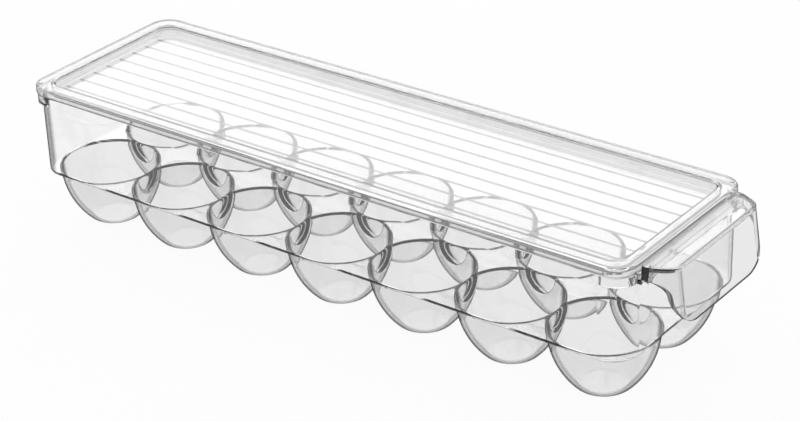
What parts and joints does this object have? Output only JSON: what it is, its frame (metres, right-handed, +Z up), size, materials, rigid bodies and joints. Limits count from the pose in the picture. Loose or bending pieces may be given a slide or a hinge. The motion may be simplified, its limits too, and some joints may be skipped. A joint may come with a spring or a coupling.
{
  "type": "egg keeper",
  "caption": "Clear egg tray with rows of round cups, straight walls and a pull handle at one end, under a shallow lid that lifts off.",
  "frame": {"origin": "on the ground, at the middle of the whole object's box", "axes": "+X along the tray towards the handle, +Y across the tray, +Z up"},
  "size_m": [0.3734, 0.1044, 0.0782],
  "materials": {
    "tray_clear": "clear, colourless, rigid moulded plastic with a polished surface",
    "lid_clear": "clear, colourless, rigid moulded plastic with a polished surface and faint lengthwise ribs"
  },
  "bodies": {
    "tray": {"tray_walls": "tray_clear", "handle_plate": "tray_clear", "handle_apron": "tray_clear", "egg_cup_a1": "tray_clear", "egg_cup_a2": "tray_clear", "egg_cup_a3": "tray_clear", "egg_cup_a4": "tray_clear", "egg_cup_a5": "tray_clear", "egg_cup_a6": "tray_clear", "egg_cup_a7": "tray_clear", "egg_cup_b1": "tray_clear", "egg_cup_b2": "tray_clear", "egg_cup_b3": "tray_clear", "egg_cup_b4": "tray_clear", "egg_cup_b5": "tray_clear", "egg_cup_b6": "tray_clear", "egg_cup_b7": "tray_clear"},
    "lid": {"lid_rim": "lid_clear", "lid_panel": "lid_clear"}
  },
  "joints": [
    {"name": "lid_lift", "type": "slide", "parent": "tray", "child": "lid", "axis": [0, 0, 1], "range_m": [0, 0.12]}
  ]
}
